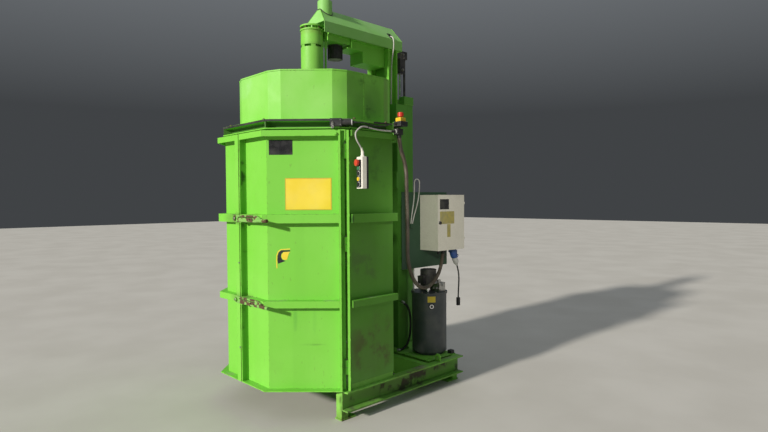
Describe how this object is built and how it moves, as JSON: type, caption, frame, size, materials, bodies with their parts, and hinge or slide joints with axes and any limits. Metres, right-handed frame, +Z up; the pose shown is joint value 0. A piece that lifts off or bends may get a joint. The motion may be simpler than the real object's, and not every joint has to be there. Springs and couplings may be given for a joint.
{
  "type": "rotary press container",
  "caption": "Octagonal steel waste press container with swing doors, feed hopper, lift mast, roofed arm, rotating column with toothed packer drum, hydraulic tank and controls.",
  "frame": {"origin": "on the floor, at the centre of the four anchor holes in the feet", "axes": "+Z up, -Y to the front where the two doors meet, +X to the right"},
  "size_m": [1.331, 1.647, 2.695],
  "materials": {
    "green_paint": "bright yellow-green paint, scuffed and dusty",
    "worn_green_paint": "green paint worn at edges, scraped and dirty",
    "rusty_steel": "rusty steel with remains of green paint",
    "bare_steel": "bright ground steel",
    "dark_steel": "black painted steel",
    "anthracite_paint": "satin anthracite paint",
    "cabinet_paint": "light beige-grey powder coat",
    "chrome": "polished chrome",
    "black_plastic": "matt black plastic",
    "cream_plastic": "cream plastic",
    "red_plastic": "glossy red plastic",
    "yellow_plastic": "glossy yellow plastic",
    "green_plastic": "glossy green plastic",
    "blue_plastic": "blue plastic",
    "grey_plastic": "light grey plastic",
    "pad_plastic": "off-white sliding plastic",
    "conduit_plastic": "ribbed brown-grey conduit",
    "light_cable": "light grey cable sheath",
    "black_rubber": "black rubber"
  },
  "bodies": {
    "frame": {"base_frame": "worn_green_paint", "rear_deck": "worn_green_paint", "chamber_shell": "green_paint", "door_hinge_pins": "green_paint", "channel_ring": "green_paint", "feed_hopper": "green_paint", "hopper_bolts": "rusty_steel", "mast_guide": "green_paint", "guide_pads": "pad_plastic", "guide_posts": "green_paint", "lift_cylinder": "dark_steel", "oil_tank": "anthracite_paint", "tank_lid": "anthracite_paint", "filler_cap": "chrome", "pump_motor": "dark_steel", "valve_block": "bare_steel", "mounting_plate": "green_paint", "cabinet_body": "cabinet_paint", "cabinet_glands": "black_plastic", "inlet_socket": "blue_plastic", "inlet_plug": "grey_plastic", "power_connector": "black_plastic", "stop_box": "black_plastic", "stop_cover": "yellow_plastic", "junction_box": "black_plastic", "pendant_shell": "cream_plastic", "pendant_back": "black_plastic", "switch_body": "black_plastic", "pendant_cable": "light_cable", "switch_cable": "black_rubber", "conduit": "conduit_plastic", "loop_cable": "light_cable", "tank_hose": "black_rubber", "power_cord": "black_rubber"},
    "carriage": {"inner_mast": "green_paint", "arm_box": "green_paint", "roof_cover": "green_paint", "arm_motor": "dark_steel", "column_housing": "green_paint", "flange_nuts": "rusty_steel", "piston_rod": "chrome", "rod_clevis": "dark_steel", "mast_cable": "light_cable"},
    "rotor": {"rotor_column": "green_paint"},
    "drum": {"packer_drum": "worn_green_paint"},
    "door_right": {"door_right": "green_paint", "right_hinge_leaves": "green_paint"},
    "door_left": {"door_left": "green_paint", "left_hinge_leaves": "green_paint"},
    "upper_latch": {"upper_latch_bar": "rusty_steel"},
    "lower_latch": {"lower_latch_bar": "rusty_steel"},
    "cabinet_door": {"cabinet_door": "cabinet_paint"},
    "cabinet_lock": {"cabinet_lock": "black_plastic"},
    "stop_button": {"stop_button": "red_plastic"},
    "lowest_button": {"lowest_button": "black_plastic"},
    "lower_button": {"lower_button": "yellow_plastic"},
    "upper_button": {"upper_button": "black_plastic"},
    "highest_button": {"highest_button": "green_plastic"},
    "pendant_stop": {"pendant_stop": "red_plastic"},
    "switch_lever": {"switch_lever": "bare_steel"}
  },
  "joints": [
    {"name": "lift", "type": "slide", "parent": "frame", "child": "carriage", "axis": [0, 0, 1], "range_m": [-0.15, 1]},
    {"name": "rotor_spin", "type": "hinge", "parent": "carriage", "child": "rotor", "pos_m": [0, -0.31716, 2.3], "axis": [0, 0, 1], "continuous": true},
    {"name": "drum_spin", "type": "hinge", "parent": "rotor", "child": "drum", "pos_m": [0.2, -0.31716, 0.785], "axis": [1, 0, 0], "continuous": true},
    {"name": "door_right_swing", "type": "hinge", "parent": "frame", "child": "door_right", "pos_m": [0.57333, -0.51954, 1], "axis": [0, 0, 1], "range_deg": [0, 95]},
    {"name": "door_left_swing", "type": "hinge", "parent": "frame", "child": "door_left", "pos_m": [-0.57333, -0.51954, 1], "axis": [0, 0, -1], "range_deg": [0, 95]},
    {"name": "upper_latch_swing", "type": "hinge", "parent": "door_left", "child": "upper_latch", "pos_m": [-0.024, -0.884, 1.19], "axis": [0, -1, 0], "range_deg": [0, 100]},
    {"name": "lower_latch_swing", "type": "hinge", "parent": "door_left", "child": "lower_latch", "pos_m": [-0.024, -0.884, 0.693], "axis": [0, -1, 0], "range_deg": [0, 100]},
    {"name": "cabinet_door_swing", "type": "hinge", "parent": "frame", "child": "cabinet_door", "pos_m": [0.473, 0.7123, 1.13], "axis": [0, 0, 1], "range_deg": [0, 110]},
    {"name": "cabinet_lock_turn", "type": "hinge", "parent": "cabinet_door", "child": "cabinet_lock", "pos_m": [0.485, 0.427, 1.13], "axis": [1, 0, 0], "range_deg": [0, 90]},
    {"name": "stop_button_press", "type": "slide", "parent": "frame", "child": "stop_button", "axis": [0, 0, -1], "range_m": [0, 0.005], "stiffness_N_per_m": 600},
    {"name": "lowest_button_press", "type": "slide", "parent": "frame", "child": "lowest_button", "axis": [0.1736, 0.9848, 0], "range_m": [0, 0.004], "stiffness_N_per_m": 400},
    {"name": "lower_button_press", "type": "slide", "parent": "frame", "child": "lower_button", "axis": [0.1736, 0.9848, 0], "range_m": [0, 0.004], "stiffness_N_per_m": 400},
    {"name": "upper_button_press", "type": "slide", "parent": "frame", "child": "upper_button", "axis": [0.1736, 0.9848, 0], "range_m": [0, 0.004], "stiffness_N_per_m": 400},
    {"name": "highest_button_press", "type": "slide", "parent": "frame", "child": "highest_button", "axis": [0.1736, 0.9848, 0], "range_m": [0, 0.004], "stiffness_N_per_m": 400},
    {"name": "pendant_stop_press", "type": "slide", "parent": "frame", "child": "pendant_stop", "axis": [0.1736, 0.9848, 0], "range_m": [0, 0.004], "stiffness_N_per_m": 400},
    {"name": "switch_lever_swing", "type": "hinge", "parent": "frame", "child": "switch_lever", "pos_m": [0.5553, -0.59272, 1.74], "axis": [0.7071, -0.7071, 0], "range_deg": [-40, 40], "stiffness_Nm_per_rad": 0.3}
  ],
  "couplings": [
    {"joint": "drum_spin", "follows": "rotor_spin", "ratio": -1.6897}
  ]
}
